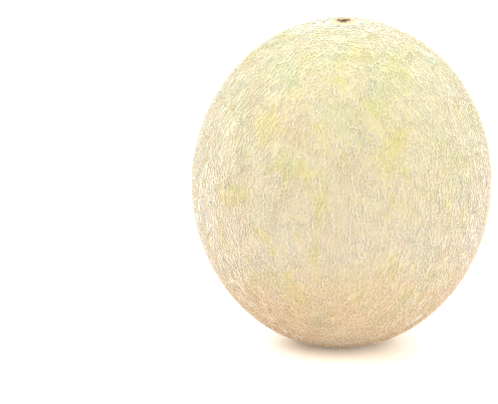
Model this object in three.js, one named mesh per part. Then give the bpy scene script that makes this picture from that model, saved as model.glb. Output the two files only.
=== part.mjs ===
// A netted cantaloupe melon that stands on its blossom end, as one closed solid.
// Millimetres, +Z up. The origin lies on the floor, under the middle of the fruit.
import * as THREE from "three";

// Driving sizes of the whole fruit.
const FRUIT_WIDTH = 150; // across the waist, its widest place
const FRUIT_HEIGHT = 163.5; // from the floor to the shoulder round the stem scar

// The flat spot that the fruit rests on, and how softly the rounded end runs into it.
const FLAT_SPOT_RADIUS = 18; // where the rounded end would cut the floor
const FLAT_SPOT_EASING = 0.8; // the edge is rounded from this far under the floor to this far above

// The scar where the stalk came away: a shallow dimple, a raised corky ring and a pit inside it.
const STEM_DIMPLE_RADIUS = 11;
const STEM_DIMPLE_DEPTH = 0.8;
const STEM_RING_RADIUS = 2.5; // to the crest of the ring
const STEM_RING_HALF_WIDTH = 0.8;
const STEM_RING_HEIGHT = 0.9;
const STEM_PIT_DEPTH = 0.8;
const STEM_LEAN = new THREE.Vector2(1.1, -2.0); // how far off the axis the scar sits
const STEM_TIP = 0.045; // how steeply the stem end is tipped towards -Y

// The scar where the flower was: a small dent in the middle of the flat spot.
const BLOSSOM_SCAR_RADIUS = 3.6;
const BLOSSOM_SCAR_DEPTH = 0.7;

// Slow swells round the waist, because no melon is truly round: lobes, height and where the first one points.
const SWELLS = [
  { lobes: 2, height: 0.45, turn: 0.7 },
  { lobes: 3, height: 0.3, turn: 2.1 },
  { lobes: 5, height: 0.2, turn: 4.0 },
];

// How finely the surface is faceted.
const FACETS_ROUND = 64;
const ROWS_ON_SIDE = 26;
const STEM_ROW_STEP = 1.05; // between rows that cross the stem scar and its dimple
const FLAT_SPOT_ROW_STEP = 2.0; // between rows that cross the flat spot
const BLOSSOM_ROW_STEP = 1.2; // between rows that cross the blossom scar

// The upright oval that the fruit is cut from. The floor cuts it at the flat spot's radius.
const HALF_WIDTH = FRUIT_WIDTH / 2;
const FLOOR_CUT = Math.sqrt(1 - (FLAT_SPOT_RADIUS / HALF_WIDTH) ** 2);
const HALF_HEIGHT = FRUIT_HEIGHT / (1 + FLOOR_CUT);
const WAIST_HEIGHT = HALF_HEIGHT * FLOOR_CUT;

const bell = (distance, width) => Math.exp(-((distance / width) ** 2));

// The larger of a height and the floor, with the corner between them rounded over the easing.
function restOnFloor(z) {
  const share = THREE.MathUtils.clamp(0.5 + (0.5 * z) / FLAT_SPOT_EASING, 0, 1);
  return share * z + FLAT_SPOT_EASING * share * (1 - share);
}

// A point of the fruit's outline at an angle from the stem end, before the swells and the lean.
function outlinePoint(angle) {
  const radius = HALF_WIDTH * Math.sin(angle);
  const oval = WAIST_HEIGHT + HALF_HEIGHT * Math.cos(angle);
  if (angle < Math.PI / 2) {
    const ring = STEM_RING_HEIGHT * bell(radius - STEM_RING_RADIUS, STEM_RING_HALF_WIDTH);
    const pit = STEM_PIT_DEPTH * bell(radius, STEM_RING_RADIUS - STEM_RING_HALF_WIDTH);
    const dimple = STEM_DIMPLE_DEPTH * bell(radius, STEM_DIMPLE_RADIUS);
    return new THREE.Vector2(radius, oval + ring - pit - dimple);
  }
  const insideScar = THREE.MathUtils.clamp(1 - radius / BLOSSOM_SCAR_RADIUS, 0, 1);
  const dent = BLOSSOM_SCAR_DEPTH * THREE.MathUtils.smoothstep(insideScar, 0, 1);
  return new THREE.Vector2(radius, restOnFloor(oval) + dent);
}

// Radii of the rows between two circles on an end of the fruit, no further apart than the step.
// The first circle is left out and the second is in.
function radiiBetween(from, to, step) {
  const rows = Math.ceil(Math.abs(to - from) / step);
  return Array.from({ length: rows }, (_, row) => THREE.MathUtils.lerp(from, to, (row + 1) / rows));
}

// Angles from the stem end of every row: close together across both scars and the flat spot, even on the side.
function rowAngles() {
  const angleAt = (radius) => Math.asin(radius / HALF_WIDTH);
  const stemRows = [0, ...radiiBetween(0, STEM_DIMPLE_RADIUS, STEM_ROW_STEP)].map(angleAt);
  const blossomRows = [
    ...radiiBetween(FLAT_SPOT_RADIUS, BLOSSOM_SCAR_RADIUS, FLAT_SPOT_ROW_STEP),
    ...radiiBetween(BLOSSOM_SCAR_RADIUS, 0, BLOSSOM_ROW_STEP),
  ].map((radius) => Math.PI - angleAt(radius));
  const sideStart = angleAt(STEM_DIMPLE_RADIUS);
  const sideEnd = Math.PI - angleAt(FLAT_SPOT_RADIUS);
  const sideRows = [];
  for (let row = 1; row <= ROWS_ON_SIDE; row++) {
    sideRows.push(THREE.MathUtils.lerp(sideStart, sideEnd, row / ROWS_ON_SIDE));
  }
  return [...stemRows, ...sideRows, ...blossomRows];
}

// Turns the outline into a solid. The profile runs from the floor up, so that its faces point out.
function turnedFruit() {
  const profile = rowAngles().map(outlinePoint).reverse();
  profile[0].x = 0;
  profile[profile.length - 1].x = 0;
  const geometry = new THREE.LatheGeometry(profile, FACETS_ROUND);
  geometry.rotateX(Math.PI / 2); // a lathe turns about Y, and the fruit stands along Z
  return geometry;
}

// Moves each point of the turned fruit out by the swells, which fade towards both ends. Then the upper half is
// moved over by the lean and tipped.
function growUnevenly(geometry) {
  const place = geometry.getAttribute("position");
  for (let i = 0; i < place.count; i++) {
    const [x, y, z] = [place.getX(i), place.getY(i), place.getZ(i)];
    const radius = Math.hypot(x, y);
    const round = Math.atan2(y, x);
    const fade = (radius / HALF_WIDTH) ** 2;
    let swell = 0;
    for (const { lobes, height, turn } of SWELLS) {
      swell += height * fade * Math.cos(lobes * (round - turn));
    }
    const grown = radius > 0 ? (radius + swell) / radius : 1;
    const lean = THREE.MathUtils.smoothstep(z, WAIST_HEIGHT, FRUIT_HEIGHT);
    const tip = STEM_TIP * y * grown * lean;
    place.setXYZ(i, x * grown + STEM_LEAN.x * lean, y * grown + STEM_LEAN.y * lean, z + tip);
  }
  return geometry;
}

// Sets the middle of the fruit's box over the origin. The flat spot stays on the floor.
function centreOverOrigin(geometry) {
  geometry.computeBoundingBox();
  const middle = geometry.boundingBox.getCenter(new THREE.Vector3());
  geometry.translate(-middle.x, -middle.y, 0);
  geometry.computeVertexNormals();
  return geometry;
}

const rind = new THREE.MeshStandardMaterial({ color: 0xe6dcbc, roughness: 0.8, metalness: 0 });
const melon = new THREE.Mesh(centreOverOrigin(growUnevenly(turnedFruit())), rind);
melon.name = "melon";

const fruit = new THREE.Group();
fruit.add(melon);

export default fruit;
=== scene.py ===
# %% [markdown]
# # A netted cantaloupe melon
# A cantaloupe has a smooth yellow-green skin. While the fruit swells, the skin keeps splitting into fine
# cracks, and every crack heals with a raised cord of pale cork, so the ripe fruit wears a net. At the top is
# the corky ring where the stalk let go, and underneath, in the middle of the flat spot that the fruit stands
# on, is the small scar of the flower. Each of these is made here as a surface worked out with numpy.
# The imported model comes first, because it says how big everything is.

# %% Load the frame
import math

import bpy
import numpy as np
from mathutils.geometry import delaunay_2d_cdt
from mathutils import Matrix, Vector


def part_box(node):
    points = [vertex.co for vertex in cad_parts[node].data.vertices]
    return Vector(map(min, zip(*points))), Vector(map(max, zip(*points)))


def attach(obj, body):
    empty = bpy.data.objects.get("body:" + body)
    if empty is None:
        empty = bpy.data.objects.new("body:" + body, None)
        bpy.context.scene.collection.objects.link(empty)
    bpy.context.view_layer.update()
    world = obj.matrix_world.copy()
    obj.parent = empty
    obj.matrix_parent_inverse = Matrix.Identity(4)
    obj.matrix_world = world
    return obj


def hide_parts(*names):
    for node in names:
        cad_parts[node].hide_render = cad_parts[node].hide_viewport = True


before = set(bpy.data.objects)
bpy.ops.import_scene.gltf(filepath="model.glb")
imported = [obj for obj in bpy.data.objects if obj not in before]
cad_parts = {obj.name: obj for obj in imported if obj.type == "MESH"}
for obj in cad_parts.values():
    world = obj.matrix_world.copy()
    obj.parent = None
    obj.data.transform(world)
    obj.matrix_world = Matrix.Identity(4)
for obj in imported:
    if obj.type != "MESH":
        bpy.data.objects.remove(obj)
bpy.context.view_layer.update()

cad_low, cad_high = (np.array(corner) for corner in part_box("melon"))
print("the packed fruit measures", np.round((cad_high - cad_low) * 1000, 2), "mm")

# %% [markdown]
# ## The shape of the fruit
# The fruit is an upright oval whose foot is cut by the floor. It could be sculpted, or turned from a drawn
# outline, but a formula is better here: the skin, the net and the scars all have to lie on one surface,
# and a formula can be asked for a point anywhere on it. The sizes are the ones that the solid model uses,
# in metres.

# %% Sizes of the fruit
MM = 0.001
FRUIT_WIDTH = 150 * MM
FRUIT_HEIGHT = 163.5 * MM
FLAT_SPOT_RADIUS = 18 * MM
FLAT_SPOT_EASING = 0.8 * MM
STEM_DIMPLE_RADIUS = 11 * MM
STEM_DIMPLE_DEPTH = 0.8 * MM
STEM_RING_RADIUS = 2.5 * MM
STEM_RING_HALF_WIDTH = 0.8 * MM
STEM_RING_HEIGHT = 0.9 * MM
STEM_PIT_DEPTH = 0.8 * MM
STEM_LEAN = np.array([1.1, -2.0]) * MM  # how far off the axis the stalk's scar sits
STEM_TIP = 0.045  # how steeply the stem end is tipped towards -Y, in metres a metre
BLOSSOM_SCAR_RADIUS = 3.6 * MM
BLOSSOM_SCAR_DEPTH = 0.7 * MM
SWELLS = ((2, 0.45 * MM, 0.7), (3, 0.3 * MM, 2.1), (5, 0.2 * MM, 4.0))  # lobes, height, turn

HALF_WIDTH = FRUIT_WIDTH / 2
FLOOR_CUT = math.sqrt(1 - (FLAT_SPOT_RADIUS / HALF_WIDTH) ** 2)
HALF_HEIGHT = FRUIT_HEIGHT / (1 + FLOOR_CUT)
WAIST_HEIGHT = HALF_HEIGHT * FLOOR_CUT


# %% Small formulas
def unit(vectors):
    """Each vector divided by its own length."""
    return vectors / np.linalg.norm(vectors, axis=-1, keepdims=True)


def bell(distance, width):
    """A smooth bump: one at no distance, falling as e to minus the square of distance over width."""
    return np.exp(-((distance / width) ** 2))


def smooth_step(value, start, end):
    """Nought before the start and one past the end, with t squared times (3 - 2t) between them."""
    t = np.clip((value - start) / (end - start), 0, 1)
    return t * t * (3 - 2 * t)


def rest_on_floor(z):
    """The larger of a height and the floor, with the corner between them rounded over the easing."""
    share = np.clip(0.5 + 0.5 * z / FLAT_SPOT_EASING, 0, 1)
    return share * z + FLAT_SPOT_EASING * share * (1 - share)


def slow_noise(places, size, seed, waves=24):
    """Smooth noise between about -1 and 1: a sum of random plane waves of a size, scaled down."""
    draw = np.random.default_rng(seed)
    directions = unit(draw.normal(size=(waves, 3))) * draw.uniform(0.6, 1.4, (waves, 1))
    phases = draw.uniform(0, 2 * math.pi, waves)
    return np.cos(places @ directions.T * 2 * math.pi / size + phases).sum(-1) * math.sqrt(2 / waves) / 2


# %% The surface of the fruit
def turned_place(direction):
    """Carries unit vectors onto the fruit, the scar's ring left out.

    The vector is stretched to the oval's half width and half height. The stem end gets its dimple, the
    blossom end is laid on the floor and gets its dent, slow swells that fade towards both ends are added to
    the radius, and the upper half leans over and is tipped towards -Y.
    """
    x, y, z = np.moveaxis(direction, -1, 0)
    radius = HALF_WIDTH * np.hypot(x, y)
    turn = np.arctan2(y, x)
    oval = WAIST_HEIGHT + HALF_HEIGHT * z
    dimple = STEM_DIMPLE_DEPTH * bell(radius, STEM_DIMPLE_RADIUS)
    dent = BLOSSOM_SCAR_DEPTH * smooth_step(1 - radius / BLOSSOM_SCAR_RADIUS, 0, 1)
    height = np.where(z > 0, oval - dimple, rest_on_floor(oval) + dent)
    waves = sum(size * np.cos(lobes * (turn - first)) for lobes, size, first in SWELLS)
    grown = radius + waves * (radius / HALF_WIDTH) ** 2
    x, y = grown * np.cos(turn), grown * np.sin(turn)
    lean = smooth_step(height, WAIST_HEIGHT, FRUIT_HEIGHT)
    return np.stack([x + STEM_LEAN[0] * lean, y + STEM_LEAN[1] * lean, height + STEM_TIP * y * lean], axis=-1)


def directions_at(angle, turn):
    """Unit vectors at an angle from the stem end and a turn about the upright axis."""
    angle, turn = np.broadcast_arrays(angle, turn)
    flat = np.sin(angle)
    return np.stack([flat * np.cos(turn), flat * np.sin(turn), np.cos(angle)], axis=-1)


survey = turned_place(directions_at(np.linspace(0, math.pi, 400)[:, None], np.linspace(0, 2 * math.pi, 721)))
survey_low, survey_high = survey.min((0, 1)), survey.max((0, 1))
MIDDLE = np.array([*(survey_low + survey_high)[:2] / 2, 0.0])  # the origin lies under the middle of the box
print("the formula gives", np.round((survey_high - survey_low) * 1000, 2), "mm")


# %% [markdown]
# ## Laying things on the skin
# The crests of the net are the outermost points of a real fruit, so the solid's surface is where the
# highest crests reach, and the skin lies under it by the height of the net. Everything below asks one
# function for a point at a height over the skin. It finds which way is out by stepping a little to both
# sides along the surface and taking the direction that is square to both steps.

# %% A point at a height over the skin
NET_HEIGHT = 0.55 * MM  # from the skin to the highest crest
SLOPE_STEP = 2e-4  # the little step, on the unit sphere


def over_skin(direction, height=0.0):
    """The point at a height over the skin, along the normal of the fruit's surface."""
    direction = unit(direction)
    helper = np.where(np.abs(direction[..., :1]) < 0.8, np.array([1.0, 0, 0]), np.array([0, 1.0, 0]))
    aside = unit(np.cross(helper, direction))
    along = np.cross(direction, aside)
    steps = [
        turned_place(unit(direction + SLOPE_STEP * way)) - turned_place(unit(direction - SLOPE_STEP * way))
        for way in (aside, along)
    ]
    normal = unit(np.cross(*steps))
    rise = np.asarray(height)[..., None] - NET_HEIGHT
    return turned_place(direction) - MIDDLE + normal * rise


top_of_skin = over_skin(np.array([[0.0, 0, 1]]))[0]
print("the skin's top lies at", np.round(top_of_skin * 1000, 2), "mm")


# %% [markdown]
# ## From arrays to a mesh
# Blender's add-mesh operators could start each piece, but then the shape would be edited afterwards, point
# by point. Here the points and faces are already whole arrays, so they go into the mesh in one go. A baked
# texture needs a flat map of the surface, so each piece brings one, and the net also brings a value for
# each point that says how high up the cord it lies, which its material reads.

# %% Put arrays into a mesh
def add_piece(name, points, faces, corner_uv, point_values=None):
    """Makes an object from points, lists of equal-sided faces, a map place for each corner, and values."""
    corners = np.concatenate([part.ravel() for part in faces])
    sides = np.concatenate([np.full(len(part), part.shape[1]) for part in faces])
    mesh = bpy.data.meshes.new(name)
    mesh.vertices.add(len(points))
    mesh.vertices.foreach_set("co", points.astype(np.float32).ravel())
    mesh.loops.add(len(corners))
    mesh.loops.foreach_set("vertex_index", corners.astype(np.int32))
    mesh.polygons.add(len(sides))
    mesh.polygons.foreach_set("loop_start", (np.cumsum(sides) - sides).astype(np.int32))
    mesh.update(calc_edges=True)
    mesh.polygons.foreach_set("use_smooth", np.ones(len(sides), bool))
    mesh.uv_layers.new(name="OFBake").data.foreach_set("uv", corner_uv.astype(np.float32).ravel())
    for value_name, values in (point_values or {}).items():
        layer = mesh.attributes.new(value_name, "FLOAT", "POINT")
        layer.data.foreach_set("value", values.astype(np.float32))
    piece = bpy.data.objects.new(name, mesh)
    bpy.context.scene.collection.objects.link(piece)
    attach(piece, "root")
    print(name, "has", int((sides - 2).sum()), "triangles")
    return piece


# %% A closed surface from a grid of rows
def add_turned_piece(name, rows, point_values=None):
    """Closes a grid of rings, rows by columns of points, with one point at each end.

    The first and the last row are single points repeated, so each becomes a pole with a fan of triangles.
    """
    count, around = rows.shape[:2]
    points = np.concatenate([rows[:1, 0], rows[1:-1].reshape(-1, 3), rows[-1:, 0]])
    column = np.arange(around)
    ring = 1 + np.arange(count - 2)[:, None] * around + column
    after = np.roll(ring, -1, axis=1)
    quads = np.stack([ring[:-1], ring[1:], after[1:], after[:-1]], -1).reshape(-1, 4)
    first = np.stack([np.zeros(around, int), ring[0], after[0]], -1)
    last = np.stack([ring[-1], np.full(around, len(points) - 1), after[-1]], -1)
    across = np.array([[0.0, 0.0, 1.0, 1.0]]) + column[:, None]
    down = np.array([[0.0, 1.0, 1.0, 0.0]]) + np.arange(1, count - 2)[:, None]
    quad_uv = np.stack(np.broadcast_arrays(across[None] / around, 1 - down[:, None] / (count - 1)), -1)
    fan_across = (column[:, None] + [0.5, 0, 1]) / around
    first_uv = np.stack([fan_across, np.broadcast_to(1 - np.array([0, 1, 1]) / (count - 1), (around, 3))], -1)
    end_down = 1 - np.array([count - 2, count - 1, count - 2]) / (count - 1)
    end_across = (column[:, None] + [0, 0.5, 1]) / around
    last_uv = np.stack([end_across, np.broadcast_to(end_down, (around, 3))], -1)
    corner_uv = np.concatenate([part.reshape(-1, 2) for part in (quad_uv, first_uv, last_uv)])
    return add_piece(name, points, [quads, first, last], corner_uv, point_values)


# %% [markdown]
# ## The skin
# The skin is one closed surface. Its grid has columns round the fruit and rows from the stem end to the
# blossom end. Evenly spaced rows would be too coarse where the two scars sit, so the rows crowd together
# at both ends. Under the stalk's scar the skin sinks out of the way of its pit. A value goes with each point:
# how near it is to the ring of old cracks round the stalk.

# %% Build the skin
SKIN_ROWS = 200
SKIN_COLUMNS = 256
CROWDING = 0.6  # how much closer the rows at the ends lie
CRACKED_RING = (9.5 * MM, 3.2 * MM)  # radius and half width of the cracked ring round the stalk
SKIN_SINK = 1.1 * MM  # how far the skin sinks under the stalk's scar
SINK_EDGE = (3.5 * MM, 6.0 * MM)  # and the radii between which it comes up again

row_share = np.linspace(0, 1, SKIN_ROWS)
row_angle = math.pi * (row_share - CROWDING * np.sin(2 * math.pi * row_share) / (2 * math.pi))
column_turn = np.arange(SKIN_COLUMNS) * 2 * math.pi / SKIN_COLUMNS
row_radius = HALF_WIDTH * np.sin(row_angle)
on_stem_half = row_angle < math.pi / 2
row_sink = SKIN_SINK * (1 - smooth_step(row_radius, *SINK_EDGE)) * on_stem_half
skin_rows = over_skin(directions_at(row_angle[:, None], column_turn), -row_sink[:, None])
cracked = bell(row_radius - CRACKED_RING[0], CRACKED_RING[1]) * on_stem_half


def point_column(row_values):
    """One value a row, given to every point of a turned piece in the order of its points."""
    middle = np.repeat(row_values[1:-1], SKIN_COLUMNS)
    return np.concatenate([row_values[:1], middle, row_values[-1:]])


skin = add_turned_piece("skin", skin_rows, {"cracked": point_column(cracked)})
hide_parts("melon")


# %% [markdown]
# ## Where the cords of the net run
# The net could be carved out of a very fine skin, or painted as a bump, but real cords stand up and cast
# shadows, and a skin fine enough to carve would be millions of faces. A net is also what lies between
# cells: scatter points over the fruit, join each to its neighbours with triangles, and let every cord cross
# one side of a triangle, from the middle of one triangle to the middle of the next.
#
# The cells are not all round. The cracks run mostly from end to end, so the cells at the waist are tall and
# narrow, and those by the stalk are as wide as they are tall. So the sphere is opened out onto a plane in
# such a way that a cell of the wanted shape comes out round, and the neighbours are found there.

# %% Scatter the cells and join the neighbours
CELL_COUNT = 16000
CELL_JITTER = 0.42  # how far a cell is pushed off the even spiral, as a share of the spacing
BUNCHING = (0.75, 6.5)  # how far slow noise pushes the cells together, and how long it is, in spacings
NET_SEED = 11
TALL_AT_STALK = 1.0  # how many times taller than wide a cell is there
TALL_AT_WAIST = 1.35
TALL_AT_BLOSSOM = 1.2


def spiral_directions(count):
    """Unit vectors evenly over the sphere: even steps of height, and the golden angle between turns."""
    step = np.arange(count) + 0.5
    return directions_at(np.arccos(1 - 2 * step / count), step * math.pi * (3 - math.sqrt(5)))


def tallness(angle):
    """How many times taller than wide a cell is: two smooth steps along the angle from the stem end."""
    to_waist = (TALL_AT_WAIST - TALL_AT_STALK) * smooth_step(angle, 0.15, 0.7)
    return TALL_AT_STALK + to_waist - (TALL_AT_WAIST - TALL_AT_BLOSSOM) * smooth_step(angle, 2.3, 3.0)


def ways_at(direction):
    """The level way round the fruit and the way up it, square to each other and to the direction."""
    round_way = unit(np.cross([0.0, 0.0, 1.0], direction))
    return round_way, np.cross(direction, round_way)


def opened_out(direction):
    """Flat places, with the turn kept. A step up the fruit counts as itself over the tallness.

    The distance from the middle is e to a sum of steps of angle over tallness times the sine of the angle,
    which keeps every wanted cell round.
    """
    table = np.linspace(1e-3, math.pi - 1e-3, 4000)
    slope = 1 / (tallness(table) * np.sin(table))
    log_distance = np.concatenate([[0], np.cumsum((slope[1:] + slope[:-1]) / 2 * np.diff(table))])
    angle = np.arccos(np.clip(direction[:, 2], -1, 1))
    distance = np.exp(np.interp(angle, table, log_distance - log_distance.mean()))
    turn = np.arctan2(direction[:, 1], direction[:, 0])
    return np.stack([np.cos(turn), np.sin(turn)], 1) * distance[:, None]


draw = np.random.default_rng(NET_SEED)
cell_spacing = math.sqrt(4 * math.pi / CELL_COUNT)
cells = spiral_directions(CELL_COUNT)
cell_tallness = np.sqrt(tallness(np.arccos(cells[:, 2])))[:, None]
drift = np.stack([slow_noise(cells, BUNCHING[1] * cell_spacing, seed, waves=40) for seed in (3, 4)])
push = (draw.normal(0, CELL_JITTER, (2, CELL_COUNT, 1)) + BUNCHING[0] * drift[..., None]) * cell_spacing
round_way, up_way = ways_at(cells)
cells = unit(cells + push[0] / cell_tallness * round_way + push[1] * cell_tallness * up_way)
triangles = np.array(delaunay_2d_cdt(opened_out(cells).tolist(), [], [], 0, 1e-9)[2])
junctions = unit(cells[triangles].sum(1))
print(CELL_COUNT, "cells meet at", len(junctions), "junctions")


# %% [markdown]
# Every side of a triangle is shared by two triangles, and the cord that crosses it joins their middles.
# Sorting the sides by the two cells that they join brings each shared pair together.

# %% Pair the triangles into cords
def pair_sides(faces, cell_count):
    """The two numbered sides that each pair of neighbouring triangles shares. Side 3t + k leaves corner k."""
    start, end = faces.ravel(), np.roll(faces, -1, axis=1).ravel()
    key = np.minimum(start, end) * cell_count + np.maximum(start, end)
    order = np.argsort(key, kind="stable")
    shared = np.flatnonzero(key[order][1:] == key[order][:-1])
    return order[shared], order[shared + 1]


side_here, side_there = pair_sides(triangles, CELL_COUNT)
cord_cells = triangles.ravel()[np.stack([side_here, side_there], 1)]
cord_ends = np.stack([side_here, side_there], 1) // 3
print(len(cord_cells), "cords could be laid")

# %% [markdown]
# A net with every cord in place looks like wire mesh. On a real fruit the oldest cracks run in long wavering
# lines from end to end and carry the thickest cords, younger and thinner ones fill the spaces between them,
# and some stop short. So the cells are gathered into families, tall ones, and those into small groups. A cord
# between two families is an old one, one between two groups is younger, and the rest are the youngest. Some
# of those are left out, mostly level ones, and more of them close to the stalk and in places where slow noise
# says that the net grew badly.

# %% Choose the cords and their sizes
FAMILIES = (680, 0.36)  # how many, and how much they are squeezed: under one makes them taller than wide
GROUPS = (3700, 0.5)
CORD_HEIGHTS = np.array([0.32, 0.42, 0.53]) * MM  # of the youngest, the younger and the old cords
CORD_HALF_WIDTHS = np.array([0.32, 0.39, 0.49]) * MM
LEFT_OUT_ALONG = 0.06  # share of the youngest cords that never grew, of those that run with the cracks
LEFT_OUT_ACROSS = 0.36
THIN_ACROSS = 0.3  # share of its size that a cord lacks where it runs across
LEFT_OUT_NEAR_STALK = 0.34
LEFT_OUT_BY_AGE = np.array([1.0, 0.35, 0.06])  # the older the cords, the fewer are left out
VIGOUR_SIZE = 0.16  # how far apart the places are, on the unit sphere, where the net grew well and badly
VIGOUR_EFFECT = 0.9  # how strongly that changes the share of cords left out
BROAD_VIGOUR = 0.6  # share of the same noise at twice the size
BARE_REACH = 16 * MM  # how far from the stalk's scar the net is thinner
SCAR_CLEARING = 6.6 * MM  # no cord comes this close to the middle of the stalk's scar
BLOSSOM_CLEARING = 4.3 * MM


def gathered(count, squeeze):
    """The number of the nearest of some random middles to each cell, with heights squeezed."""
    middles = unit(draw.normal(size=(count, 3))) * [1, 1, squeeze]
    squeezed = cells * [1, 1, squeeze]
    batches = np.array_split(squeezed, 16)  # a few at a time, to spare memory
    nearest = [np.argmin((middles**2).sum(1) - 2 * batch @ middles.T, axis=1) for batch in batches]
    return np.concatenate(nearest)


def parts_cells(group_of_cell):
    """True for each cord whose two cells lie in different groups."""
    return group_of_cell[cord_cells[:, 0]] != group_of_cell[cord_cells[:, 1]]


is_old = parts_cells(gathered(*FAMILIES))
generation = np.where(is_old, 2, parts_cells(gathered(*GROUPS)).astype(int))  # 0, 1 or 2


# %% [markdown]
# Round the stalk the cracks open into wide rings. Pulling the pattern towards its pole by a power of the
# angle does this: the cells there grow, and grow more round the stalk than away from it.

# %% Pull the pattern open round the stalk
RINGS_REACH = 0.44  # angle from the stem end, in radians, within which the pattern is pulled
RINGS_POWER = 0.72
RINGS_FADE = 20 * MM  # within this of the edge of the reach the cords go from upright to round


def pulled_open(direction):
    """Moves directions away from the stem end: angle a becomes reach times (a / reach) to a power."""
    direction = unit(direction)
    angle = np.arccos(np.clip(direction[..., 2], -1, 1))
    turn = np.arctan2(direction[..., 1], direction[..., 0])
    wide = RINGS_REACH * (np.minimum(angle, RINGS_REACH) / RINGS_REACH) ** RINGS_POWER
    return directions_at(np.where(angle < RINGS_REACH, wide, angle), turn)


end_direction = pulled_open(junctions)
end_radius = HALF_WIDTH * np.hypot(end_direction[:, 0], end_direction[:, 1])
end_on_stem_half = end_direction[:, 2] > 0
clear_of_scars = end_radius > np.where(end_on_stem_half, SCAR_CLEARING, BLOSSOM_CLEARING)
near_stalk = (bell(end_radius, BARE_REACH) * end_on_stem_half)[cord_ends].mean(1)
run = unit(end_direction[cord_ends[:, 1]] - end_direction[cord_ends[:, 0]])
level = (run * ways_at(end_direction[cord_ends[:, 0]])[0]).sum(1) ** 2
rings_share = smooth_step(HALF_WIDTH * RINGS_REACH - end_radius, 0, RINGS_FADE) * end_on_stem_half
round_stalk = rings_share[cord_ends].mean(1)
across = level + (1 - 2 * level) * round_stalk  # the cracks run upright, but round and round near the stalk
usual_chance = LEFT_OUT_ALONG + (LEFT_OUT_ACROSS - LEFT_OUT_ALONG) * across
vigour = slow_noise(end_direction, VIGOUR_SIZE, seed=5)
vigour = vigour + BROAD_VIGOUR * slow_noise(end_direction, VIGOUR_SIZE * 2, seed=6)
poor_chance = usual_chance * np.exp(-VIGOUR_EFFECT * vigour[cord_ends].mean(1))
chance = (poor_chance + (LEFT_OUT_NEAR_STALK - poor_chance) * near_stalk) * LEFT_OUT_BY_AGE[generation]
is_laid = (draw.random(len(cord_ends)) > chance) & clear_of_scars[cord_ends].all(1)
print(is_laid.sum(), "cords are laid,", (is_laid & is_old).sum(), "of them old")


# %% [markdown]
# ## The sizes of the cords
# Each cord has its own size halfway along. A junction takes the mean size of the cords that meet there, so a
# cord tapers into a junction with thinner ones, and a cord that stops short ends low. Where the net grew
# well, it is bolder too.

# %% Heights and half widths
BOLDNESS = 0.10  # how much bolder the cords are where the net grew well
BOLDNESS_SPREAD = 0.08  # and how much they differ by chance
STUB_HEIGHT = 0.6  # height of a cord that stops short at its end, as a share of its usual height
LOWEST_END = 0.12 * MM


def mean_at_ends(values):
    """The mean of the laid cords' values at each junction."""
    total = np.bincount(cord_ends[is_laid].ravel(), np.repeat(values[is_laid], 2), len(junctions))
    return total / np.maximum(cords_at_end, 1)


cords_at_end = np.bincount(cord_ends[is_laid].ravel(), minlength=len(junctions))
boldness = 1 + BOLDNESS * vigour + draw.normal(0, BOLDNESS_SPREAD, len(junctions))
fullness = boldness[cord_ends].mean(1) * (1 - THIN_ACROSS * across)
half_way_height = np.minimum(CORD_HEIGHTS[generation] * fullness, NET_HEIGHT)
half_way_width = CORD_HALF_WIDTHS[generation] * fullness
stub = np.where(cords_at_end == 1, STUB_HEIGHT, 1.0)
end_height = np.maximum(mean_at_ends(half_way_height) * stub, LOWEST_END)
end_width = mean_at_ends(half_way_width) * np.sqrt(stub)
low_middle_high = np.percentile(end_height[cords_at_end > 0], [2, 50, 98]) * 1000
print("2, 50 and 98 in 100 ends stand no higher than", np.round(low_middle_high, 2), "mm")


# %% [markdown]
# ## The cords themselves
# Three rows of points shape a cord: a crest along its middle, a shoulder on each side and a foot sunk just
# under the skin. Halfway along, each cord has a crest, two shoulders and two feet of its own, pushed a
# little sideways, so that the lines waver. At a junction the crest is one point, and each of the three cells
# has one shoulder and one foot in its corner, on the line from the junction to the cell's middle. Where a
# cord is missing, a rounded end closes the gap. A floor joins the feet underneath, so that the net is a
# closed solid.

# %% Points at the junctions
SHOULDER_OUT = 0.58  # share of the half width
SHOULDER_UP = 0.74  # share of the height
FOOT_SINK = 0.09 * MM
CORNER_STRETCH = 1.3  # the corner of a cell lies this much further out than the side of a cord, as a web
MOST_FILLED = 0.68  # a cord never reaches further across its cell than this


def towards(start, end, share):
    """Directions a share of the way from start to end."""
    return pulled_open(start + (end - start) * share[..., None])


def share_of_way(width, start, end):
    """The share of the way from start to end that a width over the skin covers, within bounds."""
    way = np.linalg.norm(over_skin(pulled_open(end)) - over_skin(pulled_open(start)), axis=-1)
    return np.minimum(width / np.maximum(way, 0.1 * MM), MOST_FILLED)


start = junctions[:, None]
end_of_side = np.arange(len(triangles) * 3)
end_of_side[side_here], end_of_side[side_there] = cord_ends[:, 1], cord_ends[:, 0]
next_junction = junctions[np.where(end_of_side < len(junctions), end_of_side, 0)].reshape(-1, 3, 3)
corner_share = share_of_way(end_width[:, None] * CORNER_STRETCH, start, cells[triangles])
cap_share = share_of_way(end_width[:, None], start, next_junction)
shoulder_height = np.repeat(end_height[:, None] * SHOULDER_UP, 3, axis=1)
junction_rings = [
    over_skin(end_direction, end_height)[:, None],
    over_skin(towards(start, cells[triangles], corner_share * SHOULDER_OUT), shoulder_height),
    over_skin(towards(start, cells[triangles], corner_share), -FOOT_SINK),
    over_skin(towards(start, next_junction, cap_share * SHOULDER_OUT), shoulder_height),
    over_skin(towards(start, next_junction, cap_share), -FOOT_SINK),
]

# %% Points halfway along the cords
SWAY = 0.1  # how far a cord bends to a side, as a share of the way between its two cells
MOST_SWAY = 0.22

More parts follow.
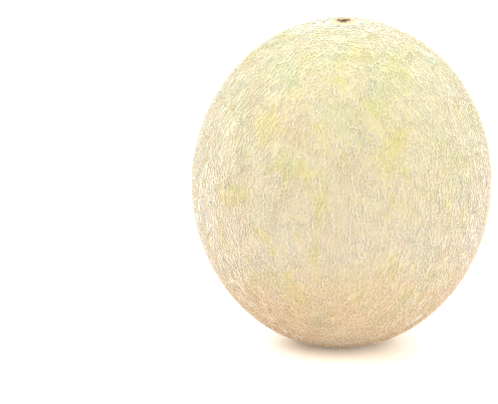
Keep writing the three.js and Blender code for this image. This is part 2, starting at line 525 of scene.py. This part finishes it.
half_way = unit(junctions[cord_ends].sum(1))
two_cells = cells[cord_cells]
sway = np.clip(draw.normal(0, SWAY, (len(half_way), 1)), -MOST_SWAY, MOST_SWAY)
half_way = unit(half_way + sway * (two_cells[:, 1] - two_cells[:, 0]))[:, None]
flank_share = share_of_way(half_way_width[:, None], half_way, two_cells)
flank_height = np.repeat(half_way_height[:, None] * SHOULDER_UP, 2, axis=1)
half_way_rings = [
    over_skin(pulled_open(half_way), half_way_height[:, None]),
    over_skin(towards(half_way, two_cells, flank_share * SHOULDER_OUT), flank_height),
    over_skin(towards(half_way, two_cells, flank_share), -FOOT_SINK),
]
point_rings = junction_rings + half_way_rings
net_points = np.concatenate([ring.reshape(-1, 3) for ring in point_rings])
ring_starts = np.cumsum([0] + [ring.shape[0] * ring.shape[1] for ring in point_rings])[:-1]
print("the net has room for", len(net_points), "points")


# %% [markdown]
# A side numbered 3t + k belongs to triangle t and leaves its corner k. Seen from outside, from the middle of
# the triangle, the cord across that side has the cell of corner k on its right and the cell of the next
# corner on its left. So each cord is two halves, one from either end, that follow the same rule and meet
# halfway, and all their faces are written down at once, as arrays of point numbers that turn the same way.

# %% Faces of the cords
def next_corner(side):
    """The side number of the next corner of the same triangle."""
    return side - side % 3 + (side + 1) % 3


def cord_faces(cord):
    """Quads of the numbered cords: the left and the right of the top, two walls, and the floor beneath."""
    crest, shoulder, foot, _, _, mid_crest, mid_shoulder, mid_foot = ring_starts
    side = np.concatenate([side_here[cord], side_there[cord]])
    mid_right = np.concatenate([cord * 2, cord * 2 + 1])
    mid_left = np.concatenate([cord * 2 + 1, cord * 2])
    near, mid = crest + side // 3, mid_crest + np.tile(cord, 2)
    right, left = side, next_corner(side)
    quads = (
        (near, mid, mid_shoulder + mid_left, shoulder + left),
        (mid, near, shoulder + right, mid_shoulder + mid_right),
        (shoulder + left, mid_shoulder + mid_left, mid_foot + mid_left, foot + left),
        (mid_shoulder + mid_right, shoulder + right, foot + right, mid_foot + mid_right),
        (foot + right, foot + left, mid_foot + mid_left, mid_foot + mid_right),
    )
    return np.concatenate([np.stack(quad, 1) for quad in quads])


def cap_faces(side):
    """Faces that round off a junction at sides whose cord is missing: quads of the wall, then triangles."""
    crest, shoulder, foot, cap_shoulder, cap_foot = ring_starts[:5]
    other = next_corner(side)
    walls = (
        (cap_shoulder + side, shoulder + side, foot + side, cap_foot + side),
        (shoulder + other, cap_shoulder + side, cap_foot + side, foot + other),
    )
    tops = (
        (crest + side // 3, shoulder + side, cap_shoulder + side),
        (crest + side // 3, cap_shoulder + side, shoulder + other),
        (foot + side, foot + other, cap_foot + side),
    )
    return [np.concatenate([np.stack(face, 1) for face in group]) for group in (walls, tops)]


# %% [markdown]
# ## Six parts of the net
# One mesh for the whole net would be too heavy to handle well, so it is made in six parts, each a sixth of
# the way round, like the peel of an orange. A cord belongs to the part that its first cell is in, and
# where another part takes over, the rounded ends overlap at the junction. Each part is mapped flat as it
# looks from its own side, with areas kept. The floors of the cords, which nobody sees, go into a small disc
# in the corner of the map.

# %% Lay a part of the net
NET_PARTS = {
    "netting_front": -90, "netting_front_right": -30, "netting_back_right": 30,
    "netting_back": 90, "netting_back_left": 150, "netting_front_left": 210,
}  # the way that each part faces, in degrees from +X
DISC_RADIUS = 0.48
FLOOR_DISC = (0.07, 0.062)  # where the floors' disc has its middle, both ways, and its radius
DISC_SPARE = 1.03  # cords may cross a part's edge, so the discs are drawn a little small


def disc_map(points, facing, is_floor):
    """Flat places of points as seen from a side, at a distance of the square root of one minus the cosine."""
    direction = unit(points - [0, 0, WAIST_HEIGHT])
    side = np.array([-math.sin(facing), math.cos(facing), 0])
    ahead = direction @ [math.cos(facing), math.sin(facing), 0]
    flat = np.stack([direction @ side, direction[:, 2]], 1)
    flat = unit(flat) * np.sqrt(np.clip(1 - ahead, 0, None))[:, None]
    visible = 0.5 + flat * DISC_RADIUS / DISC_SPARE
    hidden = FLOOR_DISC[0] + flat * FLOOR_DISC[1] / DISC_SPARE
    return np.where(is_floor[:, None], hidden, visible)


def add_net_part(name, belongs, facing):
    """Builds the cords that belong to one part, with rounded ends where others would go on."""
    cord = np.flatnonzero(belongs)
    has_cord = np.zeros(len(triangles) * 3, bool)
    has_cord[side_here[cord]] = has_cord[side_there[cord]] = True
    in_use = has_cord.reshape(-1, 3).any(1)
    missing = np.flatnonzero(np.repeat(in_use, 3) & ~has_cord)
    cap_walls, cap_tops = cap_faces(missing)
    cords = cord_faces(cord)
    middles = ring_starts[2] + np.flatnonzero(in_use)[:, None] * 3 + [2, 1, 0]
    faces = [cords, cap_walls, cap_tops, middles]
    used, renumbered = np.unique(np.concatenate([part.ravel() for part in faces]), return_inverse=True)
    splits = np.cumsum([part.size for part in faces])[:-1]
    faces = [new.reshape(old.shape) for new, old in zip(np.split(renumbered, splits), faces)]
    floor_share = [len(cords) // 5, 0, len(missing), len(middles)]
    is_floor = np.concatenate([
        np.repeat(np.arange(len(part)) >= len(part) - hidden, part.shape[1])
        for part, hidden in zip(faces, floor_share)
    ])
    points = net_points[used]
    corners = np.concatenate([part.ravel() for part in faces])
    corner_uv = disc_map(points[corners], facing, is_floor)
    values = {"crest": crest_value[used], "age": age_value[used]}
    return add_piece(name, points, faces, corner_uv, values)


crest_of_ring = [1.0, SHOULDER_UP, 0.0, SHOULDER_UP * 0.9, 0.0, 1.0, SHOULDER_UP, 0.0]
crest_value = np.repeat(crest_of_ring, np.diff([*ring_starts, len(net_points)]))
age_at_end = mean_at_ends(generation / 2)
points_a_junction = [len(ring[0]) for ring in junction_rings]
points_a_cord = [len(ring[0]) for ring in half_way_rings]
age_value = np.concatenate(
    [np.repeat(age_at_end, times) for times in points_a_junction]
    + [np.repeat(generation / 2, times) for times in points_a_cord]
)
first_cells = cells[cord_cells[:, 0]]
first_turn = np.arctan2(first_cells[:, 1], first_cells[:, 0])
net_parts = [
    add_net_part(name, is_laid & (np.cos(first_turn - facing) > math.cos(math.pi / len(NET_PARTS))), facing)
    for name, facing in zip(NET_PARTS, np.radians(list(NET_PARTS.values())))
]


# %% [markdown]
# ## The stalk's scar
# When the fruit is ripe the stalk lets go by itself and leaves a ring of cork round a shallow pit. The ring
# is never even: it stands in two lumps, has crumbled in places and is split by fine radial cracks. It is a
# lens-shaped piece, one profile carried round: out over the top from the middle to the rim, which dives
# into the skin, and back underneath.

# %% Build the stalk's scar
SCAR_RIM = 8.0 * MM
SCAR_COLUMNS = 128
SCAR_TOP_ROWS = 56
SCAR_FLOOR_ROWS = 8
SCAR_FLOOR_DEPTH = 1.6 * MM
RADIAL_CRACKS = 11
SCAR_SHOULDER = 0.72 * SCAR_RIM  # from here out the scar dives under the skin
RIM_DIVE = 0.16 * MM  # how deep its rim ends

scar_turn = np.arange(SCAR_COLUMNS) * 2 * math.pi / SCAR_COLUMNS


def scar_height(radius, turn):
    """Height of the scar over the skin.

    A ring whose height and radius waver with the turn, a pit inside it, crumbs from slow noise, and narrow
    radial cracks that deepen towards the crest. Outside the ring it runs down under the skin.
    """
    place = np.stack([radius * np.cos(turn), radius * np.sin(turn), np.zeros_like(radius + turn)], -1)
    round_place = np.stack([np.cos(turn), np.sin(turn), np.zeros_like(turn)], -1)
    crest_radius = STEM_RING_RADIUS * (1 + 0.07 * slow_noise(round_place, 1.3, seed=21))
    lumps = 0.8 + 0.28 * np.cos(2 * turn) + 0.14 * slow_noise(round_place, 0.9, seed=22)
    ring = STEM_RING_HEIGHT * lumps * bell(radius - crest_radius, STEM_RING_HALF_WIDTH)
    pit = STEM_PIT_DEPTH * bell(radius, STEM_RING_RADIUS - STEM_RING_HALF_WIDTH)
    crumbs = 0.13 * MM * slow_noise(place, 1.6 * MM, seed=23)
    crumbs = crumbs + 0.07 * MM * slow_noise(place, 0.7 * MM, seed=24)
    crack_phase = turn * RADIAL_CRACKS / 2 + 1.5 * slow_noise(round_place, 1.1, seed=25)
    crack = 0.3 * MM * bell(np.sin(crack_phase), 0.16) * bell(radius - crest_radius, 1.7 * MM)
    shelf = (NET_HEIGHT * 0.8 + ring - pit + crumbs - crack) * smooth_step(radius, SCAR_RIM, SCAR_SHOULDER)
    return shelf - RIM_DIVE * smooth_step(radius, SCAR_SHOULDER, SCAR_RIM)


top_radius = np.linspace(0, SCAR_RIM, SCAR_TOP_ROWS)[:, None]
floor_radius = np.linspace(SCAR_RIM, 0, SCAR_FLOOR_ROWS + 1)[1:, None]
scar_radius = np.concatenate([top_radius, floor_radius])
scar_floor = -SCAR_FLOOR_DEPTH * smooth_step(1 - floor_radius / SCAR_RIM, 0, 0.5) + 0 * scar_turn
scar_rise = np.concatenate([scar_height(top_radius, scar_turn), scar_floor - RIM_DIVE])
scar_rise[[0, -1]] = scar_rise[[0, -1]].mean(1, keepdims=True)
scar_directions = directions_at(np.arcsin(scar_radius / HALF_WIDTH), scar_turn)
stalk_scar = add_turned_piece("stalk_scar", over_skin(scar_directions, scar_rise))


# %% [markdown]
# ## The flower's scar
# The flower dried up and fell off while the fruit was the size of an egg, and its mark stayed small: a thin
# brown button of cork with a point in the middle, sunk in the dent so that the fruit can stand flat. It is
# the same lens, upside down.

# %% Build the flower's scar
BUTTON_RIM = 4.4 * MM
BUTTON_RISE = 0.22 * MM
BUTTON_ROWS = 24
BUTTON_BACK_ROWS = 6
BUTTON_EDGE = 0.1 * MM  # how deep its rim ends
BUTTON_BACK = 0.9 * MM  # and how much deeper its back lies

back_radius = np.linspace(0, BUTTON_RIM, BUTTON_BACK_ROWS + 1)[:-1, None]
face_radius = np.linspace(BUTTON_RIM, 0, BUTTON_ROWS)[:, None]
back_rise = -BUTTON_EDGE - BUTTON_BACK * smooth_step(1 - back_radius / BUTTON_RIM, 0, 0.5) + 0 * scar_turn
button_place = np.stack([
    face_radius * np.cos(scar_turn), face_radius * np.sin(scar_turn), 0 * face_radius * scar_turn
], -1)
crumbs = 0.07 * MM * slow_noise(button_place, 1.1 * MM, seed=31)
point_rise = 0.25 * MM * bell(face_radius, 0.6 * MM)
face_share = smooth_step(1 - face_radius / BUTTON_RIM, 0, 0.35)
face_rise = (BUTTON_RISE + BUTTON_EDGE + crumbs + point_rise) * face_share - BUTTON_EDGE
button_rise = np.concatenate([back_rise, face_rise])
button_rise[[0, -1]] = button_rise[[0, -1]].mean(1, keepdims=True)
button_radius = np.concatenate([back_radius, face_radius])
button_directions = directions_at(math.pi - np.arcsin(button_radius / HALF_WIDTH), scar_turn)
flower_scar = add_turned_piece("flower_scar", over_skin(button_directions, button_rise)[::-1, ::-1])


# %% [markdown]
# ## Tools for the materials
# A material is a small graph of nodes. These helpers add a node with its settings and its links in one
# call, so that a graph reads from top to bottom like a recipe.

# %% Helpers for node graphs
def linear(red, green, blue):
    """A colour given in the 0 to 255 of a colour picker, as the linear light that the shader works with."""
    share = np.array([red, green, blue]) / 255
    light = np.where(share <= 0.04045, share / 12.92, ((share + 0.055) / 1.055) ** 2.4)
    return (*map(float, light), 1.0)


def add_node(tree, kind, inputs=None, **settings):
    """Adds a node. An input's value may be a plain value or another node's output socket."""
    node = tree.nodes.new(kind)
    for name, value in settings.items():
        setattr(node, name, value)
    for name, value in (inputs or {}).items():
        if isinstance(value, bpy.types.NodeSocket):
            tree.links.new(value, node.inputs[name])
        else:
            node.inputs[name].default_value = value
    return node


def mix_colours(tree, share, first, second, blend="MIX"):
    """The output of a colour mix: the first colour where the share is nought, the second where it is one."""
    node = add_node(tree, "ShaderNodeMix", data_type="RGBA", blend_type=blend)
    for index, value in ((0, share), (6, first), (7, second)):
        if isinstance(value, bpy.types.NodeSocket):
            tree.links.new(value, node.inputs[index])
        else:
            node.inputs[index].default_value = value
    return node.outputs[2]


def combine(tree, operation, first, second, kind="ShaderNodeMath"):
    """The output of a maths node, or of a vector maths node, that works on two values."""
    return add_node(tree, kind, {0: first, 1: second}, operation=operation).outputs[0]


def stretch(tree, value, low, high, low_out=0.0, high_out=1.0):
    """The output of a map range: low becomes low_out and high becomes high_out, and it stops there."""
    settings = {"From Min": low, "From Max": high, "To Min": low_out, "To Max": high_out}
    return add_node(tree, "ShaderNodeMapRange", {"Value": value, **settings}).outputs["Result"]


def noise(tree, place, scale, detail=2.0, roughness=0.5, distortion=0.0):
    """The output of a noise texture, in cycles a metre."""
    values = {"Vector": place, "Scale": scale, "Detail": detail, "Roughness": roughness}
    return add_node(tree, "ShaderNodeTexNoise", {**values, "Distortion": distortion}).outputs["Fac"]


def new_group(name, inputs, outputs):
    """A shader node group with named inputs, each with its socket type and value, and named outputs."""
    group = bpy.data.node_groups.new(name, "ShaderNodeTree")
    for socket, (kind, value) in inputs.items():
        made = group.interface.new_socket(socket, in_out="INPUT", socket_type=kind)
        if value is not None:
            made.default_value = value
    for socket, kind in outputs.items():
        group.interface.new_socket(socket, in_out="OUTPUT", socket_type=kind)
    return group, group.nodes.new("NodeGroupInput").outputs, group.nodes.new("NodeGroupOutput").inputs


# %% [markdown]
# ## Patches of ripeness, and a tint by height
# A melon ripens unevenly: broad patches of it are a fresher yellow-green, others turn tan with a hint of
# pink, some stay greyish green, and small spots are yellower. The end by the stalk is the freshest. Towards
# the foot the colour turns darker and warmer: partly a tan tint, partly painted warm bounce light from below
# and painted shade near the floor. The patches pass through the skin and the net alike, so this is one group
# that both materials use. It takes a colour and hands it back, shifted.

# %% The group of ripeness patches
ZONE_SCALE = 17.0  # cycles a metre, so the zones are some 3 to 6 cm across
PATCH_SCALE = 62.0  # and the patches in them 1 to 2 cm
PATCH_STRETCH = (1.0, 1.0, 0.6)  # the patches are taller than they are wide
# The foot's tint is partly tan and partly painted light: warm bounce light from below and shade near the
# floor.
FOOT_TAN_AND_PAINTED_BOUNCE = (0.98, 0.73, 0.34, 1.0)
WAIST_TINT = (0.93, 0.90, 0.91, 1.0)
TOP_TINT = (0.925, 0.945, 0.73, 1.0)
FOOT_END, WAIST_START = 0.03, 0.36  # shares of the height where these tints hold
PATCHES = (  # where in the noise, how much finer than usual, the noise's low and high value, and the tint
    ((0.31, 0.02, 0.11), 1.0, 0.49, 0.68, (0.97, 0.98, 0.60, 1.0)),  # fresh
    ((0.05, 0.67, 0.23), 0.7, 0.46, 0.68, (1.0, 0.90, 0.86, 1.0)),  # tan
    ((0.47, 0.13, 0.81), 0.9, 0.48, 0.70, (0.82, 0.92, 0.88, 1.0)),  # greyish green
    ((0.94, 0.41, 0.62), 1.6, 0.54, 0.64, (0.98, 0.97, 0.62, 1.0)),  # small yellow spots
)

ripeness_and_foot_light, r_in, r_out = new_group(
    "ripeness_and_painted_foot_light",
    {
        "Place": ("NodeSocketVector", None),
        "Colour": ("NodeSocketColor", (0.8, 0.8, 0.8, 1.0)),
        "Strength": ("NodeSocketFloat", 1.0),
    },
    {"Colour": "NodeSocketColor"},
)


def patch_share(offset, scale, low, high):
    """A mask of soft patches that keep to a few zones, times the strength. The offset picks another set."""
    squeezed = combine(ripeness_and_foot_light, "MULTIPLY", r_in["Place"], PATCH_STRETCH, "ShaderNodeVectorMath")
    moved = combine(ripeness_and_foot_light, "ADD", squeezed, offset, "ShaderNodeVectorMath")
    zones = stretch(ripeness_and_foot_light, noise(ripeness_and_foot_light, moved, ZONE_SCALE, 1.0, 0.5), 0.36, 0.58)
    patches = stretch(ripeness_and_foot_light, noise(ripeness_and_foot_light, moved, scale, 3.0, 0.55, 0.4), low, high)
    return combine(ripeness_and_foot_light, "MULTIPLY", combine(ripeness_and_foot_light, "MULTIPLY", zones, patches), r_in["Strength"])


# Tints by height: darker and warmer towards the foot, where a tan tint and painted bounce light and shade are
# mixed in.
height_above_floor = add_node(ripeness_and_foot_light, "ShaderNodeSeparateXYZ", {0: r_in["Place"]}).outputs["Z"]
by_height = add_node(ripeness_and_foot_light, "ShaderNodeValToRGB", {
    "Fac": stretch(ripeness_and_foot_light, height_above_floor, 0.0, FRUIT_HEIGHT)
})
for stop, colour in ((FOOT_END, FOOT_TAN_AND_PAINTED_BOUNCE), (WAIST_START, WAIST_TINT)):
    by_height.color_ramp.elements.new(stop).color = colour
by_height.color_ramp.elements[0].color = FOOT_TAN_AND_PAINTED_BOUNCE
by_height.color_ramp.elements[-1].color = TOP_TINT
tinted = mix_colours(ripeness_and_foot_light, 1.0, r_in["Colour"], by_height.outputs["Color"], "MULTIPLY")
for offset, finer, low, high, tint in PATCHES:
    share = patch_share(offset, PATCH_SCALE * finer, low, high)
    tinted = mix_colours(ripeness_and_foot_light, share, tinted, tint, "MULTIPLY")
ripeness_and_foot_light.links.new(tinted, r_out["Colour"])
print("the ripeness group has", len(PATCHES), "kinds of patch and", len(ripeness_and_foot_light.nodes), "nodes")


# %% [markdown]
# ## The grain of cork
# Cork is made of dead cells, so it is dry and matt, with a fine crumbly grain and small dark pores. The
# net and both scars are cork, so they share this group. It gives a mask of the pores for the colour and a
# height for the bump.

# %% The group of cork grain
cork_grain, g_in, g_out = new_group(
    "cork_grain",
    {"Place": ("NodeSocketVector", None), "Scale": ("NodeSocketFloat", 1500.0)},
    {"Pores": "NodeSocketFloat", "Height": "NodeSocketFloat"},
)
coarse = noise(cork_grain, g_in["Place"], g_in["Scale"], 4.0, 0.65)
half_scale = combine(cork_grain, "MULTIPLY", g_in["Scale"], 0.45)
broad = noise(cork_grain, g_in["Place"], half_scale, 2.0, 0.5)
pores = stretch(cork_grain, coarse, 0.50, 0.36)
grain_height = combine(cork_grain, "ADD", coarse, broad)
cork_grain.links.new(pores, g_out["Pores"])
cork_grain.links.new(grain_height, g_out["Height"])


# %% Start a material
SHEEN_TINT = (0.86, 0.93, 1.0, 1.0)  # a cool sheen where the surface turns away


def start_material(name, roughness, coat=0.0, sheen=0.0):
    """A material with a Principled BSDF, its object coordinates and its node tree."""
    material = bpy.data.materials.new(name)
    material.use_nodes = True
    tree = material.node_tree
    shader = tree.nodes["Principled BSDF"]
    shader.inputs["Roughness"].default_value = roughness
    shader.inputs["Coat Weight"].default_value = coat
    shader.inputs["Sheen Weight"].default_value = sheen
    shader.inputs["Sheen Tint"].default_value = SHEEN_TINT
    place = add_node(tree, "ShaderNodeTexCoord").outputs["Object"]
    return material, tree, shader, place


def use_group(tree, group, inputs):
    """Places a node group in a material with its own values."""
    return add_node(tree, "ShaderNodeGroup", inputs, node_tree=group).outputs


def read_value(tree, name):
    """The output that reads one of the piece's own values."""
    return add_node(tree, "ShaderNodeAttribute", attribute_name=name).outputs["Fac"]


def add_bump(tree, shader, height, distance):
    """Bends the shader's normal by a height. The distance is how much a height of one rises, in metres."""
    bump = add_node(tree, "ShaderNodeBump", {"Height": height, "Distance": distance, "Strength": 1.0})
    tree.links.new(bump.outputs["Normal"], shader.inputs["Normal"])


# %% [markdown]
# ## The skin's finish
# Between the cords the skin is olive yellow with a faint waxy shine. Close up it is freckled with paler
# dots, and it is darkest where it is youngest, in the cracked ring round the stalk.

# %% Finish the skin
skin_material, tree, shader, place = start_material("melon_skin", 0.5, coat=0.06, sheen=1.0)
shader.inputs["Coat Roughness"].default_value = 0.4
mottle = stretch(tree, noise(tree, place, 260.0, 3.0, 0.6), 0.32, 0.68)
skin_colour = mix_colours(tree, mottle, linear(156, 147, 111), linear(173, 165, 133))
freckles = stretch(tree, noise(tree, place, 1400.0, 1.0, 0.5), 0.60, 0.70)
freckled = mix_colours(tree, freckles, skin_colour, linear(184, 178, 152))
ring_colour = mix_colours(tree, read_value(tree, "cracked"), freckled, linear(120, 123, 80))
splits = stretch(tree, noise(tree, place, 240.0, 2.0, 0.5), 0.50, 0.58)
dark_splits = combine(tree, "MULTIPLY", splits, read_value(tree, "cracked"))
split_colour = mix_colours(tree, dark_splits, ring_colour, linear(84, 90, 58))
tinted_outputs = use_group(tree, ripeness_and_foot_light, {"Place": place, "Colour": split_colour, "Strength": 1.0})
tree.links.new(tinted_outputs["Colour"], shader.inputs["Base Color"])
shine = stretch(tree, mottle, 0, 1, 0.42, 0.58)
tree.links.new(shine, shader.inputs["Roughness"])
add_bump(tree, shader, noise(tree, place, 900.0, 3.0, 0.6), 0.12 * MM)
skin.data.materials.append(skin_material)
print("the skin's material has", len(tree.nodes), "nodes")

# %% [markdown]
# ## The net's finish
# Old cork is the palest, a dry cream. Young cords are darker and yellower, and every cord is darker at its
# foot: partly dust, and partly painted shade where the cord meets the skin. The values that the net carries
# say which is which.

# %% Finish the net
net_material, tree, shader, place = start_material("melon_netting", 0.88, sheen=1.0)
crest, age = read_value(tree, "crest"), read_value(tree, "age")
young_to_old = mix_colours(tree, stretch(tree, age, 0.0, 0.8), linear(173, 166, 147), linear(186, 179, 163))
# The foot of each cord is darker: dust, and painted shade where the cord meets the skin.
foot_dust_and_shade = stretch(tree, crest, 0.75, 0.05)
shaded = mix_colours(tree, foot_dust_and_shade, young_to_old, linear(166, 157, 132))
grain = use_group(tree, cork_grain, {"Place": place, "Scale": 1700.0})
pored = mix_colours(tree, grain["Pores"], shaded, linear(161, 148, 121))
weathered_share = stretch(tree, noise(tree, place, 130.0, 2.0, 0.6), 0.4, 0.7)
weathered = mix_colours(tree, weathered_share, pored, linear(183, 165, 142))
tinted_outputs = use_group(tree, ripeness_and_foot_light, {"Place": place, "Colour": weathered, "Strength": 0.75})
tree.links.new(tinted_outputs["Colour"], shader.inputs["Base Color"])
tree.links.new(stretch(tree, grain["Pores"], 0, 1, 0.82, 0.95), shader.inputs["Roughness"])
add_bump(tree, shader, grain["Height"], 0.15 * MM)
for part in net_parts:
    part.data.materials.append(net_material)
print("the net's material has", len(tree.nodes), "nodes")


# %% [markdown]
# ## The scars' finish
# Where the stalk broke away, the cork is dark brown in the pit and on the crest of the ring, and its outer
# slope fades through a pinkish tan into the net. The flower's scar is the same cork, without the fade. The
# colour follows the distance from the middle of the scar, which a Mapping node measures: it moves the
# middle to nought and makes the rim one.

# %% Finish the scars
def finish_scar(piece, name, middle, rim, ends):
    """Gives a scar its cork: dark to a share of the rim, then tan, then cream at the rim itself."""
    material, tree, shader, place = start_material(name, 0.9)
    centred = add_node(tree, "ShaderNodeMapping", {
        "Vector": place, "Location": (-middle[0] / rim, -middle[1] / rim, 0), "Scale": (1 / rim, 1 / rim, 0)
    })
    distance = add_node(tree, "ShaderNodeVectorMath", {0: centred.outputs[0]}, operation="LENGTH")
    wobble = stretch(tree, noise(tree, place, 900.0, 3.0, 0.6), 0.3, 0.7, -0.09, 0.09)
    wavering = combine(tree, "ADD", distance.outputs["Value"], wobble)
    dark_end, tan_end = ends
    grain = use_group(tree, cork_grain, {"Place": place, "Scale": 1300.0})
    dark = mix_colours(tree, grain["Pores"], linear(92, 72, 38), linear(42, 31, 15))
    tan = mix_colours(tree, grain["Pores"], linear(182, 160, 130), linear(148, 121, 92))
    to_tan = mix_colours(tree, stretch(tree, wavering, dark_end - 0.06, dark_end + 0.08), dark, tan)
    cream = linear(186, 173, 138)
    colour = mix_colours(tree, stretch(tree, wavering, tan_end - 0.1, tan_end + 0.12), to_tan, cream)
    tree.links.new(colour, shader.inputs["Base Color"])
    tree.links.new(stretch(tree, grain["Pores"], 0, 1, 0.85, 0.97), shader.inputs["Roughness"])
    add_bump(tree, shader, grain["Height"], 0.25 * MM)
    piece.data.materials.append(material)
    print(name, "has", len(tree.nodes), "nodes")


blossom_middle = over_skin(np.array([[0.0, 0, -1]]))[0]
finish_scar(stalk_scar, "stalk_scar_cork", top_of_skin, SCAR_RIM, ends=(0.42, 0.68))
finish_scar(flower_scar, "flower_scar_cork", blossom_middle, BUTTON_RIM, ends=(0.42, 1.0))


# %% [markdown]
# ## The floor and the light
# The fruit stands on a plain white floor in an even white room, which keeps the shadows soft. The floor
# glows very faintly, as a light table does, so that the shadow stays pale. A lamp high on the left models
# the form, a broader one from the right in front fills it in, and one hangs overhead. Two more stand behind,
# one on each side, and brighten the rims.

# %% Floor and room
FLOOR_HALF_SIZE = 12.0
FLOOR_WHITE = (0.97, 0.91, 0.84, 1.0)
FLOOR_GLOW = (1.0, 0.90, 0.78, 1.0)
FLOOR_GLOW_STRENGTH = 0.17
ROOM_WHITE = (1.0, 1.0, 1.0, 1.0)
ROOM_STRENGTH = 1.5

floor_mesh = bpy.data.meshes.new("studio_floor")
corner_sides = ((-1, -1), (1, -1), (1, 1), (-1, 1))
floor_corners = [(x * FLOOR_HALF_SIZE, y * FLOOR_HALF_SIZE, 0) for x, y in corner_sides]
floor_mesh.from_pydata(floor_corners, [], [(0, 1, 2, 3)])
floor = bpy.data.objects.new("studio_floor", floor_mesh)
bpy.context.scene.collection.objects.link(floor)
floor_material, _, shader, _ = start_material("studio_white", 0.35)
shader.inputs["Base Color"].default_value = FLOOR_WHITE
shader.inputs["Emission Color"].default_value = FLOOR_GLOW
shader.inputs["Emission Strength"].default_value = FLOOR_GLOW_STRENGTH
floor.data.materials.append(floor_material)

room = bpy.data.worlds.new("white_room")
room.use_nodes = True
room.node_tree.nodes["Background"].inputs["Color"].default_value = ROOM_WHITE
room.node_tree.nodes["Background"].inputs["Strength"].default_value = ROOM_STRENGTH
bpy.context.scene.world = room
bpy.context.scene.view_settings.view_transform = "Standard"
print("the floor is", 2 * FLOOR_HALF_SIZE, "m across, in a room of strength", ROOM_STRENGTH)


# %% Lamps
LAMPS = (  # name, place and width in metres, power in watts
    ("key_lamp", (-0.9, -0.35, 1.1), 1.0, 12),
    ("fill_lamp", (1.1, -0.8, 0.4), 2.0, 20),
    ("top_lamp", (0.1, 0.25, 1.5), 1.2, 8),
    ("left_rim_lamp", (-1.1, 0.9, 0.9), 2.4, 13),
    ("right_rim_lamp", (1.2, 0.9, 0.5), 2.4, 8),
)


def add_lamp(name, place, target, size, power):
    """A square lamp at a place, turned to face a target."""
    light = bpy.data.lights.new(name, "AREA")
    light.size, light.energy = size, power
    lamp = bpy.data.objects.new(name, light)
    lamp.location = place
    aim_at(lamp, target)
    bpy.context.scene.collection.objects.link(lamp)


def aim_at(thing, target):
    """Turns a lamp or a camera so that it looks at a target, with its top up."""
    from_target = np.array(target) - np.array(thing.location)
    flat = math.hypot(from_target[0], from_target[1])
    tilt = math.pi / 2 + math.atan2(from_target[2], flat)
    thing.rotation_euler = (tilt, 0, math.atan2(-from_target[0], from_target[1]))


fruit_middle = (cad_low + cad_high) / 2
for name, lamp_place, size, power in LAMPS:
    add_lamp(name, lamp_place, fruit_middle, size, power)
print(len(LAMPS), "lamps face the middle of the fruit")

# %% [markdown]
# ## The camera
# A long lens from a little above table height, far enough back that the fruit keeps its proportions. The
# fruit sits right of the middle, so the camera is turned a little to the left of it.

# %% Camera
LENS = 261.0
SENSOR_WIDTH = 36.0
CAMERA_DISTANCE = 1.8
CAMERA_ELEVATION = math.radians(12)
ASIDE = 46.0 * MM  # how far left of the fruit's middle the camera looks
BELOW = 10.95 * MM

camera_data = bpy.data.cameras.new("camera")
camera_data.lens, camera_data.sensor_width = LENS, SENSOR_WIDTH
camera = bpy.data.objects.new("camera", camera_data)
back = np.array([0, -math.cos(CAMERA_ELEVATION), math.sin(CAMERA_ELEVATION)])
up = np.array([0, math.sin(CAMERA_ELEVATION), math.cos(CAMERA_ELEVATION)])
camera.location = fruit_middle + back * CAMERA_DISTANCE
aim_at(camera, fruit_middle - np.array([ASIDE, 0, 0]) - up * BELOW)
bpy.context.scene.collection.objects.link(camera)
bpy.context.scene.camera = camera
print("the camera stands at", np.round(np.array(camera.location), 3), "m")
